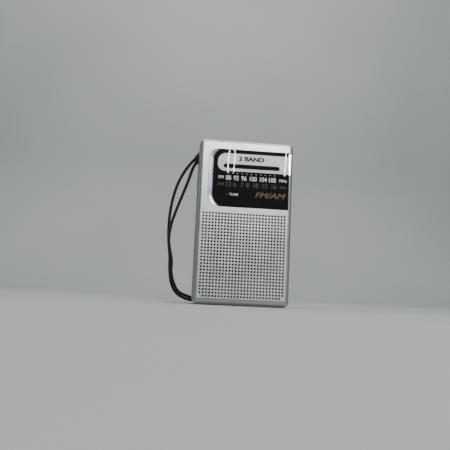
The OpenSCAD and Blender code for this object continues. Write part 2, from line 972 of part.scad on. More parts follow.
module battery_springs() {
    turns = 3;
    steps = 12;
    wire_r = 0.35;
    start_x = bay_half_w - 0.4 - wire_r;
    reach = start_x - cell_len / 2 - wire_r - 0.05;
    color("silver")
    for (i = [0, 1]) {
        side = i == 0 ? -1 : 1;
        path = [for (s = [0:turns * steps])
            let (t = s / (turns * steps), angle = 360 * s / steps, r = 5 - 2.2 * t)
            [side * (start_x - reach * t), cell_y + r * cos(angle), cell_z[i] + r * sin(angle)]];
        tube(path, wire_r, 6, [1, 0, 0], [0, 0, 1], [0, 0, 1]);
    }
}

module battery_plates() {
    color("silver")
    for (side = [-1, 1])
        for (z = cell_z) {
            translate([side * (bay_half_w - 0.2), cell_y, z])
                cube([0.4, 12, 12], center = true);
        }
    color("silver")
    for (i = [0, 1]) {
        side = i == 0 ? 1 : -1;
        translate([side * (bay_half_w + cell_len / 2 + 1.5) / 2, cell_y, cell_z[i]])
            rotate([0, 90, 0])
                cylinder(h = bay_half_w - cell_len / 2 - 1.5 - 0.7, r = 2, center = true);
    }
}

// ---------- antenna ----------

module antenna_base() {
    color("silver")
    difference() {
        union() {
            bar_y(antenna_x, antenna_z, stub_front_y, channel_y + 0.3, stub_r);
            bar_y(antenna_x, antenna_z, channel_y + 0.2, fork_back_y, fork_r);
        }
        // slot for the tube's tongue, open towards the tube and the back
        block([antenna_x - 4, antenna_y - tongue_r - 0.25, antenna_z - 0.95],
            [antenna_x + tongue_r + 0.25, case_d, antenna_z + 0.95]);
        translate([antenna_x, antenna_y, antenna_z - 5])
            cylinder(h = 10, r = 0.65);
        bar_y(antenna_x, antenna_z, stub_front_y - 1, 8, 0.85);
    }
}

module antenna_base_screw() {
    color("silver") {
        bar_y(antenna_x, antenna_z, stub_front_y - 1.6, stub_front_y - fine_gap, pivot_head_r);
        bar_y(antenna_x, antenna_z, stub_front_y - fine_gap, 7.8, 0.8);
    }
}

module antenna_knuckle_pin() {
    color("silver")
    translate([antenna_x, antenna_y, antenna_z - 2.6])
        cylinder(h = 5.2, r = 0.6);
}

function tube_outer(i) = antenna_r - antenna_step * i;
function tube_left(i) = antenna_x - tube_start - antenna_len - 0.8 * i;
function tube_right(i) = antenna_x - tube_start - plug_len - 0.6 * i;

module antenna_tube(i) {
    color("silver")
    difference() {
        bar_x(tube_left(i), tube_right(i), antenna_y, antenna_z, tube_outer(i));
        if (i < antenna_sections - 1)
            bar_x(tube_left(i) - 1, tube_right(i) + 1, antenna_y, antenna_z, tube_outer(i) - tube_wall);
    }
}

module antenna_tube_1() {
    plug_right = antenna_x - tube_start;
    color("silver")
    difference() {
        union() {
            bar_x(tube_left(0), plug_right, antenna_y, antenna_z, antenna_r);
            intersection() {
                union() {
                    translate([antenna_x, antenna_y, antenna_z - 0.8])
                        cylinder(h = 1.6, r = tongue_r);
                    block([plug_right - 1, antenna_y - tongue_r, antenna_z - 0.8],
                        [antenna_x, antenna_y + tongue_r, antenna_z + 0.8]);
                }
                block([plug_right - 1, 0, 0], [case_w, case_d, 2 * case_h]);
            }
        }
        bar_x(tube_left(0) - 1, tube_right(0), antenna_y, antenna_z, antenna_r - tube_wall);
        translate([antenna_x, antenna_y, antenna_z - 5])
            cylinder(h = 10, r = 0.65);
    }
}

module antenna_tube_2() {
    antenna_tube(1);
}

module antenna_tube_3() {
    antenna_tube(2);
}

module antenna_tube_4() {
    antenna_tube(3);
}

module antenna_tube_5() {
    antenna_tube(4);
}

module antenna_tip() {
    left = tube_left(antenna_sections - 1);
    color("silver")
        bar_x(left - 2.4, left, antenna_y, antenna_z, 2.1);
}

// ---------- fasteners and strap ----------

module case_screws() {
    color("silver")
    for (side = [-1, 1])
        screw_y(side * case_screw_x, case_screw_z, 1, 12.05, 13.8, 1.2, 2.5);
}

module board_screws() {
    color("silver")
    for (at = board_screw_at)
        screw_y(at[0], at[1], 1, board_back_y, board_back_y + 1.3, 0.9, 1.7);
}

module strap_anchor() {
    plate_x = anchor_face_x - 0.7;
    color("dimgray") {
        difference() {
            union() {
                block([plate_x, anchor_y - 1.9, 105.4], [anchor_face_x, anchor_y + 1.9, 113.6]);
                for (z = anchor_z)
                    translate([anchor_face_x, anchor_y, z])
                        rotate([0, -90 - exit_angle, 0])
                            cylinder(h = ferrule_len, r = 1.6);
            }
            block([anchor_face_x, 0, 0], [0, case_d, case_h]);
        }
        block([anchor_face_x, anchor_y - 1.2, 107.1], [-inner_x + 1.4, anchor_y + 1.2, 112.1]);
    }
}

module wrist_strap() {
    leave = [-cos(exit_angle), 0, -sin(exit_angle)];
    path = smooth_path(concat([strap_exit[0]], strap_route, [strap_exit[1]]), 2);
    color("black")
        tube(path, strap_d / 2, 8, [0, 0.2, 1], leave, -leave);
}

front_shell();
rear_shell();
front_panel();
window_trim();
dial_lens();
dial_band();
dial_scale();
dial_pointer();
pointer_carriage();
pointer_rail();
dial_cord();
cord_posts();
tuning_wheel();
tuning_screw();
tuning_capacitor();
volume_wheel();
volume_screw();
volume_control();
band_switch_knob();
band_switch_body();
circuit_board();
radio_chip();
coil_cans();
electrolytic_capacitors();
ceramic_filters();
ferrite_rod();
ferrite_coil();
ferrite_holders();
speaker_cloth();
speaker_frame();
speaker_cone();
speaker_magnet();
speaker_screws();
tune_lamp();
earphone_jack();
battery_door();
door_hinge_pin();
upper_cell();
lower_cell();
battery_springs();
battery_plates();
antenna_base();
antenna_base_screw();
antenna_knuckle_pin();
antenna_tube_1();
antenna_tube_2();
antenna_tube_3();
antenna_tube_4();
antenna_tube_5();
antenna_tip();
case_screws();
board_screws();
strap_anchor();
wrist_strap();
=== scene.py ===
"""Pocket transistor radio: looks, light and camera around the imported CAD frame. Metres, front faces -Y."""
import json
import math

import bmesh
import bpy
from mathutils import Matrix, Vector


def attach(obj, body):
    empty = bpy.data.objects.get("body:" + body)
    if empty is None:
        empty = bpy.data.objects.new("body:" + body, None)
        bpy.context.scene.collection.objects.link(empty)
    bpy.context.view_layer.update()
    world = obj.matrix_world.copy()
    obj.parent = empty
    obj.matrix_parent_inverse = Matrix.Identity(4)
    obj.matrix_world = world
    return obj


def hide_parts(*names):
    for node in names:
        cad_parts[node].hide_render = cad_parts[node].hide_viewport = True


# Measures are in millimetres and MM turns them into Blender's metres.
# Only the stage and the lamps are given in metres.
MM = 0.001

# Shared by the paints and the panel.
PANEL_Y = -15.5
SEAT_Y = -14.2
GRILLE_Z = 35.5

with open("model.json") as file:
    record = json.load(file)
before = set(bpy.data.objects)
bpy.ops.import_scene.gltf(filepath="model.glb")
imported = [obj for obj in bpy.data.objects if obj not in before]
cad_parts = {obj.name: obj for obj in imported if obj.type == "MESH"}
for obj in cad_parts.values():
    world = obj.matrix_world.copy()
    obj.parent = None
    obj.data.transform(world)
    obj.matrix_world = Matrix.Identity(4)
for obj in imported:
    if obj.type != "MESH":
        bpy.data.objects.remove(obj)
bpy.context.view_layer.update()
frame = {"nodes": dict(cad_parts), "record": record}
NODES = frame["nodes"]


# ---------- camera ----------

def aim_camera():
    """The photograph's view: a little left of the radio's middle and low, with a slight roll."""
    sensor_mm = 36.0
    focal_mm = 41.6
    position = Vector((-42.8, -380.6, 9.0)) * MM
    target = Vector((-13.5, -15.0, 56.6)) * MM
    roll_deg = 2.67
    data = bpy.data.cameras.new("camera")
    data.sensor_width = sensor_mm
    data.lens = focal_mm
    data.clip_start = 0.01
    camera = bpy.data.objects.new("camera", data)
    look = (target - position).to_track_quat("-Z", "Y").to_matrix().to_4x4()
    roll = Matrix.Rotation(math.radians(roll_deg), 4, "Z")
    camera.matrix_world = Matrix.Translation(position) @ look @ roll
    bpy.context.scene.collection.objects.link(camera)
    bpy.context.scene.camera = camera


aim_camera()


# ---------- shader helpers ----------

class Shader:
    """A material's node tree with short calls for the nodes used here."""

    def __init__(self, name):
        self.material = bpy.data.materials.new(name)
        self.material.use_nodes = True
        self.tree = self.material.node_tree
        self.surface = self.tree.nodes["Principled BSDF"]
        self.output = self.tree.nodes["Material Output"]
        self.coords = self.tree.nodes.new("ShaderNodeTexCoord").outputs["Object"]

    def set(self, **values):
        """Sets the surface's own sockets, named with underscores for spaces."""
        for socket, value in values.items():
            self.surface.inputs[socket.replace("_", " ")].default_value = value

    def axes(self):
        """The object's own coordinates as three sockets named X, Y and Z."""
        split = self.tree.nodes.new("ShaderNodeSeparateXYZ")
        self.tree.links.new(self.coords, split.inputs[0])
        return split.outputs

    def scaled(self, scale):
        """The object's coordinates multiplied axis by axis."""
        mapping = self.tree.nodes.new("ShaderNodeMapping")
        mapping.inputs["Scale"].default_value = scale
        self.tree.links.new(self.coords, mapping.inputs["Vector"])
        return mapping.outputs["Vector"]

    def noise(self, scale, detail=3.0, rough=0.5, stretch=(1, 1, 1)):
        node = self.tree.nodes.new("ShaderNodeTexNoise")
        node.inputs["Scale"].default_value = scale
        node.inputs["Detail"].default_value = detail
        node.inputs["Roughness"].default_value = rough
        self.tree.links.new(self.scaled(stretch), node.inputs["Vector"])
        return node.outputs["Fac"]

    def cells(self, scale):
        """A random value from 0 to 1 for each small cell."""
        node = self.tree.nodes.new("ShaderNodeTexVoronoi")
        node.inputs["Scale"].default_value = scale
        self.tree.links.new(self.coords, node.inputs["Vector"])
        split = self.tree.nodes.new("ShaderNodeSeparateColor")
        self.tree.links.new(node.outputs["Color"], split.inputs[0])
        return split.outputs[0]

    def wave(self, scale, direction):
        node = self.tree.nodes.new("ShaderNodeTexWave")
        node.bands_direction = direction
        node.inputs["Scale"].default_value = scale
        self.tree.links.new(self.coords, node.inputs["Vector"])
        return node.outputs["Fac"]

    def remap(self, value, low, high, to_low, to_high):
        """The range low to high stretched to the range to_low to to_high, and held at its ends."""
        node = self.tree.nodes.new("ShaderNodeMapRange")
        node.inputs["From Min"].default_value = low
        node.inputs["From Max"].default_value = high
        node.inputs["To Min"].default_value = to_low
        node.inputs["To Max"].default_value = to_high
        self.tree.links.new(value, node.inputs["Value"])
        return node.outputs["Result"]

    def add(self, a, b):
        return self.math("ADD", a, b)

    def math(self, operation, a, b):
        """One arithmetic step; a and b are numbers or sockets."""
        node = self.tree.nodes.new("ShaderNodeMath")
        node.operation = operation
        for socket, value in zip(node.inputs, (a, b)):
            if isinstance(value, (int, float)):
                socket.default_value = value
            else:
                self.tree.links.new(value, socket)
        return node.outputs[0]

    def blend(self, factor, first, second):
        """A colour between two, each a colour or a socket."""
        node = self.tree.nodes.new("ShaderNodeMix")
        node.data_type = "RGBA"
        colour_a, colour_b, colour_out = node.inputs[6], node.inputs[7], node.outputs[2]
        self.tree.links.new(factor, node.inputs["Factor"])
        for socket, value in ((colour_a, first), (colour_b, second)):
            if isinstance(value, tuple):
                socket.default_value = (*value, 1)
            else:
                self.tree.links.new(value, socket)
        return colour_out

    def colour(self, socket):
        self.tree.links.new(socket, self.surface.inputs["Base Color"])

    def tint(self, mask, tone):
        """Replaces the base colour by tone, and metal by plastic, where the mask is 1."""
        under = self.surface.inputs["Base Color"].links[0].from_socket
        self.colour(self.blend(mask, under, tone))
        metallic = self.surface.inputs["Metallic"].default_value
        self.tree.links.new(self.remap(mask, 0, 1, metallic, 0), self.surface.inputs["Metallic"])

    def rough(self, socket):
        self.tree.links.new(socket, self.surface.inputs["Roughness"])

    def bump(self, height, strength, depth_mm):
        """Raises the surface's shading, not its shape, by the height socket."""
        node = self.tree.nodes.new("ShaderNodeBump")
        node.inputs["Strength"].default_value = strength
        node.inputs["Distance"].default_value = depth_mm * MM
        self.tree.links.new(height, node.inputs["Height"])
        self.tree.links.new(node.outputs["Normal"], self.surface.inputs["Normal"])


# ---------- materials ----------

def shaded(tone, factor):
    """A tone made lighter or darker, never above full."""
    return tuple(min(channel * factor, 1) for channel in tone)


def silver_paint(name, tone, metallic, roughness):
    """Silver paint on plastic: fine flakes, soft orange peel, a few rubbed patches and hairline scuffs.

    Gives the shader back, so that a painted part can be tinted further.
    """
    s = Shader(name)
    s.set(Metallic=metallic, Coat_Weight=0.12, Coat_Roughness=0.25, IOR=1.5)
    flakes = s.blend(s.cells(5200), shaded(tone, 0.93), shaded(tone, 1.05))
    grime = s.remap(s.noise(38, 4, 0.6), 0.55, 0.8, 0, 0.14)
    s.colour(s.blend(grime, flakes, shaded(tone, 0.72)))
    scuffs = s.remap(s.noise(900, 2, 0.5, (1, 1, 0.04)), 0.66, 0.74, 0, 0.12)
    patches = s.remap(s.noise(60, 4), 0.3, 0.7, roughness - 0.05, roughness + 0.05)
    s.rough(s.add(patches, scuffs))
    s.bump(s.add(s.noise(2600, 2), s.noise(700, 2)), 0.25, 0.012)
    return s


def panel_paint(name, tone, metallic, roughness):
    """The panel's brighter silver; behind its front face, down the holes and round the edges, it turns near
    black as painted shade.
    """
    s = silver_paint(name, tone, metallic, roughness)
    fade_start = (PANEL_Y + 0.08) * MM
    fade_end = (PANEL_Y + 0.2) * MM
    # Painted shade: behind the front face the colour fades to near black, so the holes and edges look
    # shaded.
    painted_hole_shade = s.remap(s.axes()["Y"], fade_start, fade_end, 0, 1)
    s.tint(painted_hole_shade, (0.025, 0.025, 0.026))
    return s.material


def shell_paint(name, tone, metallic, roughness):
    """The case's silver paint, with painted shade: near black on the seat behind the grille, so that the
    grille's holes look dark.
    """
    s = silver_paint(name, tone, metallic, roughness)
    seat_half = 30.5 * MM
    seat_back = (SEAT_Y + 0.3) * MM
    axes = s.axes()
    from_middle_x = s.math("ABSOLUTE", axes["X"], 0)
    from_middle_z = s.math("ABSOLUTE", s.math("SUBTRACT", axes["Z"], GRILLE_Z * MM), 0)
    in_width = s.math("LESS_THAN", from_middle_x, seat_half)
    in_height = s.math("LESS_THAN", from_middle_z, seat_half)
    in_depth = s.math("LESS_THAN", axes["Y"], seat_back)
    seat_shade = s.math("MULTIPLY", s.math("MULTIPLY", in_width, in_height), in_depth)
    # Painted shade: the seat behind the grille is coloured near black so that the holes in front of it read
    # as dark.
    s.tint(seat_shade, (0.035, 0.035, 0.037))
    return s.material


def moulded_plastic(name, tone, roughness=0.5, grain=1800, depth_mm=0.02, specular=0.5):
    """Moulded plastic with a fine eroded grain and slightly uneven gloss."""
    s = Shader(name)
    s.set(Specular_IOR_Level=specular, IOR=1.5)
    mottled = s.remap(s.noise(300, 3), 0.3, 0.7, 0, 1)
    s.colour(s.blend(mottled, shaded(tone, 0.88), shaded(tone, 1.1)))
    s.rough(s.remap(s.noise(120, 4), 0.3, 0.7, roughness - 0.07, roughness + 0.08))
    s.bump(s.noise(grain, 3), 0.3, depth_mm)
    return s.material


def metal(name, tone, roughness, brush=(1, 40, 1), brush_scale=400, depth_mm=0.004):
    """Bare or plated metal with fine lines along or round it and cloudy patches."""
    s = Shader(name)
    s.set(Metallic=1.0)
    cloud = s.remap(s.noise(90, 4), 0.35, 0.75, 0, 1)
    s.colour(s.blend(cloud, tone, shaded(tone, 0.86)))
    lines = s.noise(brush_scale, 3, 0.6, brush)
    s.rough(s.remap(s.add(lines, s.noise(150, 3)), 0.7, 1.3, roughness * 0.75, roughness * 1.5))
    s.bump(lines, 0.2, depth_mm)
    return s.material


def gloss_black(name):
    """Back-printed black plate: deep black, very smooth, with a trace of dust."""
    s = Shader(name)
    s.set(Specular_IOR_Level=0.03, IOR=1.5)
    dust = s.remap(s.noise(2400, 2, 0.5), 0.7, 0.78, 0, 0.25)
    s.colour(s.blend(dust, (0.003, 0.0025, 0.0025), (0.03, 0.029, 0.027)))
    s.rough(s.remap(s.noise(80, 3), 0.3, 0.7, 0.22, 0.34))
    return s.material


def clear_plastic(name):
    """Clear window: mirrors what its surface reflects and lets everything behind show."""
    index = 1.45
    s = Shader(name)
    fresnel = s.tree.nodes.new("ShaderNodeFresnel")
    # On a back face the Fresnel node inverts its index, and beyond 44 degrees it would mirror everything.
    # It gets the inverse there, which cancels that.
    back_face = s.tree.nodes.new("ShaderNodeNewGeometry").outputs["Backfacing"]
    s.tree.links.new(s.remap(back_face, 0, 1, index, 1 / index), fresnel.inputs["IOR"])
    clear = s.tree.nodes.new("ShaderNodeBsdfTransparent")
    clear.inputs["Color"].default_value = (0.98, 0.98, 0.98, 1)
    mirror = s.tree.nodes.new("ShaderNodeBsdfGlossy")
    mirror.inputs["Color"].default_value = (1, 1, 1, 1)
    handled = s.remap(s.noise(45, 3), 0.35, 0.75, 0.008, 0.012)
    s.tree.links.new(handled, mirror.inputs["Roughness"])
    mix = s.tree.nodes.new("ShaderNodeMixShader")
    s.tree.links.new(fresnel.outputs[0], mix.inputs[0])
    s.tree.links.new(clear.outputs[0], mix.inputs[1])
    s.tree.links.new(mirror.outputs[0], mix.inputs[2])
    s.tree.links.new(mix.outputs[0], s.output.inputs["Surface"])
    s.tree.nodes.remove(s.surface)
    return s.material


def printed_band(name):
    """Pale pinkish silver print with a faint vertical brushing."""
    s = Shader(name)
    s.set(Metallic=0.35)
    brushed = s.remap(s.noise(500, 3, 0.6, (1, 1, 0.03)), 0.3, 0.7, 0, 1)
    s.colour(s.blend(brushed, (0.56, 0.54, 0.57), (0.65, 0.63, 0.66)))
    s.rough(s.remap(s.noise(200, 3), 0.3, 0.7, 0.3, 0.42))
    return s.material


def ink(name, tone):
    """Screen-printed ink, slightly uneven."""
    s = Shader(name)
    cover = s.remap(s.noise(3500, 2), 0.3, 0.75, 0, 1)
    s.colour(s.blend(cover, tone, shaded(tone, 0.7)))
    s.rough(s.remap(s.noise(900, 2), 0.3, 0.7, 0.45, 0.6))
    return s.material


def braid_fabric(name):
    """Black braided cord, with a soft fibre sheen."""
    s = Shader(name)
    s.set(Sheen_Weight=0.25, Sheen_Roughness=0.4, Specular_IOR_Level=0.25)
    fibre = s.noise(7000, 3, 0.6)
    s.colour(s.blend(s.remap(fibre, 0.3, 0.7, 0, 1), (0.006, 0.006, 0.007), (0.02, 0.02, 0.022)))
    s.rough(s.remap(s.noise(1500, 2), 0.3, 0.7, 0.6, 0.85))
    s.bump(fibre, 0.5, 0.05)
    return s.material


def dull_cloth(name, tone):
    """Thin black cloth with a plain weave."""
    s = Shader(name)
    s.set(Specular_IOR_Level=0.1)
    weave = s.math("MULTIPLY", s.wave(900, "X"), s.wave(900, "Z"))
    s.colour(s.blend(weave, shaded(tone, 0.6), tone))
    s.rough(s.remap(s.noise(600, 2), 0.3, 0.7, 0.8, 0.95))
    s.bump(weave, 0.6, 0.1)
    return s.material


def circuit_face(name):
    """Brown phenolic board with fine speckle."""
    s = Shader(name)
    speckle = s.remap(s.noise(1800, 4, 0.7), 0.35, 0.7, 0, 1)
    s.colour(s.blend(speckle, (0.16, 0.13, 0.125), (0.25, 0.205, 0.195)))
    s.rough(s.remap(s.noise(300, 3), 0.3, 0.7, 0.35, 0.55))
    s.bump(s.noise(1200, 3), 0.2, 0.02)
    return s.material


def cell_jacket(name):
    """Printed battery jacket: dark green with a paler band at one end."""
    s = Shader(name)
    band_start = 13.5 * MM
    band_edge = 0.2 * MM
    band = s.remap(s.axes()["X"], band_start, band_start + band_edge, 0, 1)
    s.set(Metallic=0.6, Coat_Weight=0.4)
    s.colour(s.blend(band, (0.01, 0.07, 0.03), (0.5, 0.42, 0.18)))
    s.rough(s.remap(s.noise(300, 3), 0.3, 0.7, 0.25, 0.4))
    s.bump(s.noise(400, 2), 0.1, 0.02)
    return s.material


def wound_wire(name):
    """Varnished copper winding: one fine groove per turn along X."""
    s = Shader(name)
    turns = s.wave(1100, "X")
    s.set(Metallic=0.7, Coat_Weight=0.5)
    s.colour(s.blend(turns, (0.22, 0.06, 0.015), (0.62, 0.27, 0.09)))
    s.rough(s.remap(s.noise(500, 3), 0.3, 0.7, 0.25, 0.45))
    s.bump(turns, 0.6, 0.06)
    return s.material


TRIM_PLATE = metal("trim_plate", (0.54, 0.59, 0.64), 0.26, (1, 1, 1), 60, 0.0)
MATERIALS = {
    "case_paint": shell_paint("case_paint", (0.33, 0.341, 0.347), 0.95, 0.40),
    "panel_paint": panel_paint("panel_paint", (0.68, 0.68, 0.69), 0.95, 0.36),
    "clear_lens": clear_plastic("clear_lens"),
    "band_print": printed_band("band_print"),
    "black_plate": gloss_black("black_plate"),
    "white_plastic": moulded_plastic("white_plastic", (0.72, 0.71, 0.66), 0.45),
    "dark_plastic": moulded_plastic("dark_plastic", (0.055, 0.055, 0.058), 0.5),
    "black_plastic": moulded_plastic("black_plastic", (0.018, 0.018, 0.019), 0.45),
    "wheel_plastic": silver_paint("wheel_paint", (0.42, 0.43, 0.44), 0.6, 0.38).material,
    "sleeve_plastic": moulded_plastic("sleeve_plastic", (0.012, 0.02, 0.09), 0.3, 900, 0.01),
    "filter_plastic": moulded_plastic("filter_plastic", (0.62, 0.20, 0.03), 0.35, 700, 0.03),
    "lamp_plastic": moulded_plastic("lamp_plastic", (0.09, 0.004, 0.003), 0.25, 900, 0.005),
    "steel": metal("steel", (0.56, 0.56, 0.55), 0.34),
    "cell_steel": cell_jacket("cell_steel"),
    "aluminium": metal("aluminium", (0.78, 0.78, 0.78), 0.3, (1, 1, 30)),
    "chrome": metal("chrome", (0.86, 0.86, 0.87), 0.12, (60, 1, 1), 300, 0.002),
    "phenolic": circuit_face("phenolic"),
    "ferrite": moulded_plastic("ferrite", (0.035, 0.035, 0.038), 0.55, 2400, 0.04),
    "coil_wire": wound_wire("coil_wire"),
    "cone_paper": moulded_plastic("cone_paper", (0.02, 0.02, 0.02), 0.85, 900, 0.12, 0.2),
    "cloth": dull_cloth("cloth", (0.006, 0.006, 0.007)),
    "cord_thread": moulded_plastic("cord_thread", (0.62, 0.56, 0.42), 0.7, 5000, 0.04, 0.3),
    "braid": braid_fabric("braid"),
}


# ---------- mesh helpers ----------

def add_piece(name, mesh, material, smooth=True):
    """A new object in the scene with one material."""
    obj = bpy.data.objects.new(name, mesh)
    bpy.context.scene.collection.objects.link(obj)
    mesh.materials.clear()
    mesh.materials.append(material)
    if smooth:
        mesh.shade_smooth()
    return obj


def mesh_from(name, points, faces):
    mesh = bpy.data.meshes.new(name)
    mesh.from_pydata([tuple(p) for p in points], [], faces)
    mesh.validate()
    mesh.update()
    return mesh


def arc(cx, cz, r, start_deg, end_deg, steps):
    """Points in x and z along an arc, both ends included."""
    span = end_deg - start_deg
    angles = [math.radians(start_deg + span * i / steps) for i in range(steps + 1)]
    return [(cx + r * math.cos(a), cz + r * math.sin(a)) for a in angles]


def evaluated(obj):
    """The finished mesh of an object with its curves or modifiers applied; the object is removed."""
    depsgraph = bpy.context.evaluated_depsgraph_get()
    mesh = bpy.data.meshes.new_from_object(obj.evaluated_get(depsgraph))
    bpy.data.objects.remove(obj)
    return mesh


def cut_plate(name, loops, y_front, y_back, edge):
    """A standing plate with holes and rounded edges; loops are lists of x and z in millimetres."""
    curve = bpy.data.curves.new(name, "CURVE")
    curve.dimensions = "2D"
    curve.fill_mode = "BOTH"
    half = (y_back - y_front) / 2
    curve.extrude = (half - edge) * MM
    curve.bevel_depth = edge * MM
    curve.bevel_resolution = 2
    # The bevel grows the outline by its own depth, so the outline is first drawn in by as much.
    curve.offset = -edge * MM
    for loop in loops:
        spline = curve.splines.new("POLY")
        spline.points.add(len(loop) - 1)
        for point, (x, z) in zip(spline.points, loop):
            point.co = (x * MM, z * MM, 0, 1)
        spline.use_cyclic_u = True
    obj = bpy.data.objects.new(name, curve)
    bpy.context.scene.collection.objects.link(obj)
    mesh = evaluated(obj)
    middle = (y_front + y_back) / 2 * MM
    mesh.transform(Matrix.Translation((0, middle, 0)) @ Matrix.Rotation(math.radians(90), 4, "X"))
    return mesh


# ---------- wrist strap ----------

CASE_HALF_W = 34.25
STRAP_D = 2.3
STRAP_EXIT_DEG = 50
STRAP_EXIT_Y = 6.5
STRAP_EXIT_Z = (111.8, 107.8)
FERRULE_LEN = 2.8
STEPS_PER_SPAN = 12
RING_STEP = 0.35
BRAID_SIDES = 24
BRAID_STRANDS = 8
BRAID_LAY = 5.0
# From the upper ferrule down to the floor, round the loop behind the radio and up to the lower ferrule.
# Near the floor it swings a little wider than the cord of the CAD part.
STRAP_ROUTE = [
    (-39.75, 6.6, 105.3), (-44.4, 7.5, 98.5), (-49, 9.2, 89), (-52, 11, 78), (-53.6, 13, 67),
    (-54, 15, 56), (-53.4, 17, 45), (-52, 19.5, 34.5), (-51.5, 22.5, 24), (-49.6, 26, 13.8),
    (-45, 29.8, 6.6), (-37.5, 33, 2.8), (-28, 35.7, 1.5), (-21, 37, 1.2), (-14, 37.1, 1.2),
    (-7.4, 34.4, 1.2), (-4.7, 27.8, 1.2), (-7.4, 21.2, 1.2), (-14, 18.5, 1.2), (-21, 18.8, 1.2),
    (-28, 20, 1.5), (-35, 21, 4.4), (-43.6, 20.8, 8), (-48, 19.4, 14.8), (-50.2, 17.7, 23),
    (-50.3, 15.8, 31), (-52, 14, 39), (-53.3, 12.2, 47), (-52.2, 10.2, 57.5), (-49.2, 8.2, 68),
    (-45.2, 6.8, 79.5), (-41.3, 6.2, 91), (-38.5, 6.4, 100.5)]


def smooth_path(points, steps):
    """A Catmull-Rom curve through the points."""
    path = []
    last = len(points) - 1
    for i in range(last):
        a, b = points[max(i - 1, 0)], points[i]
        c, d = points[i + 1], points[min(i + 2, last)]
        for k in range(steps):
            t = k / steps
            path.append(0.5 * (2 * b + (c - a) * t + (2 * a - 5 * b + 4 * c - d) * t * t
                               + (3 * b - a - 3 * c + d) * t ** 3))
    path.append(points[last])
    return path


def evenly(path, spacing):
    """The path resampled at one spacing; the last gap may differ a little."""
    shortest_gap = 0.3 * spacing
    out = [path[0]]
    left = spacing
    for a, b in zip(path, path[1:]):
        step = (b - a).length
        along = left
        while along <= step:
            out.append(a.lerp(b, along / step))
            along += spacing
        left = along - step
    if (out[-1] - path[-1]).length > shortest_gap:
        out.append(path[-1])
    else:
        out[-1] = path[-1]
    return out


def braided_tube(path, radius, sides, strands, lay):
    """Rings along the path; crossing strands stand out a little, as in a braid.

    Strands wind round in both directions, and the pattern repeats after each lay.
    """
    valley = 0.94
    strand_lift = 0.05
    crossing_lift = 0.02
    points, faces = [], []
    side = Vector((0, 0.2, 1))
    travelled = 0.0
    for i, centre in enumerate(path):
        along = (path[min(i + 1, len(path) - 1)] - path[max(i - 1, 0)]).normalized()
        u = (side - along * side.dot(along)).normalized()
        v = along.cross(u)
        if i:
            travelled += (centre - path[i - 1]).length
        turn = 2 * math.pi * travelled / lay
        for k in range(sides):
            angle = 2 * math.pi * k / sides
            left = math.cos(strands * angle + turn)
            right = math.cos(strands * angle - turn)
            lift = strand_lift * max(left, right) + crossing_lift * left * right
            r = radius * (valley + lift)
            points.append(centre + (u * math.cos(angle) + v * math.sin(angle)) * r)
        side = u
    for i in range(len(path) - 1):
        for k in range(sides):
            a, b = i * sides + k, i * sides + (k + 1) % sides
            faces.append((a, b, b + sides, a + sides))
    last_ring = (len(path) - 1) * sides
    faces.append(tuple(range(sides - 1, -1, -1)))
    faces.append(tuple(range(last_ring, last_ring + sides)))
    return mesh_from("wrist_strap_braid", points, faces)


def strap_ends():
    """The mouths of the two ferrules, which point out and down from the case's left side."""
    angle = math.radians(STRAP_EXIT_DEG)
    x = -CASE_HALF_W - FERRULE_LEN * math.cos(angle)
    drop = FERRULE_LEN * math.sin(angle)
    return [Vector((x, STRAP_EXIT_Y, z - drop)) for z in STRAP_EXIT_Z]


def build_strap():
    first, last = strap_ends()
    control = [first] + [Vector(p) for p in STRAP_ROUTE] + [last]
    path = evenly([p * MM for p in smooth_path(control, STEPS_PER_SPAN)], RING_STEP * MM)
    mesh = braided_tube(path, STRAP_D / 2 * MM, BRAID_SIDES, BRAID_STRANDS, BRAID_LAY * MM)
    strap = add_piece("wrist_strap_braid", mesh, MATERIALS["braid"])
    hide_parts("wrist_strap")
    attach(strap, "case")


build_strap()


# ---------- front panel ----------

PANEL_HALF_W = 31.5
PANEL_BOTTOM = 4.5
PANEL_BOTTOM_R = 1.0
PANEL_TOP = 117.0
PANEL_TOP_R = 1.5
PANEL_EDGE = 0.07
# The panel's back lies a hair inside its seat.
PANEL_BACK_Y = SEAT_Y + 0.02
HOLE_PITCH = 2.25
HOLE_R = 0.77
HOLE_SIDES = 16
HOLES_PER_ROW = 27
WINDOW_LEFT = -23.6
WINDOW_BOTTOM = 69.7
WINDOW_BOTTOM_R = 9.5
WINDOW_TOP = 112.0
WINDOW_TOP_R = 7.0
TRIM_W = 3.5
TRIM_GAP = 0.03
# The scoop starts this far behind the panel's face and sinks this much further by the window.
TRIM_START = 0.4
TRIM_SCOOP = 0.8


def window_left_side(grow=0.0, shift=0.0, steps=10):
    """The window's outline from its upper edge round the left to its lower edge.

    It can be grown outward all round, and shifted to the left.
    """
    left = WINDOW_LEFT - shift - grow
    top, bottom = WINDOW_TOP + grow, WINDOW_BOTTOM - grow
    r_top, r_bottom = WINDOW_TOP_R + grow, WINDOW_BOTTOM_R + grow
    upper = arc(left + r_top, top - r_top, r_top, 90, 180, steps)
    lower = arc(left + r_bottom, bottom + r_bottom, r_bottom, 180, 270, steps)
    return upper + lower


def panel_outline():
    """The C-shaped panel: right edge, round the outside, then in along the window."""
    right = PANEL_HALF_W
    low = PANEL_BOTTOM + PANEL_BOTTOM_R
    high = PANEL_TOP - PANEL_TOP_R
    outside = arc(right - PANEL_BOTTOM_R, low, PANEL_BOTTOM_R, 0, -90, 4)
    outside += arc(-right + PANEL_BOTTOM_R, low, PANEL_BOTTOM_R, -90, -180, 4)
    outside += arc(-right + PANEL_TOP_R, high, PANEL_TOP_R, 180, 90, 5)
    outside += arc(right - PANEL_TOP_R, high, PANEL_TOP_R, 90, 0, 5)
    window = [(right, WINDOW_TOP)] + window_left_side(shift=TRIM_W) + [(right, WINDOW_BOTTOM)]
    return outside + window


def circle(x, z, r, sides):
    """A closed loop, its first point not repeated."""
    return arc(x, z, r, 0, 360, sides)[:-1]


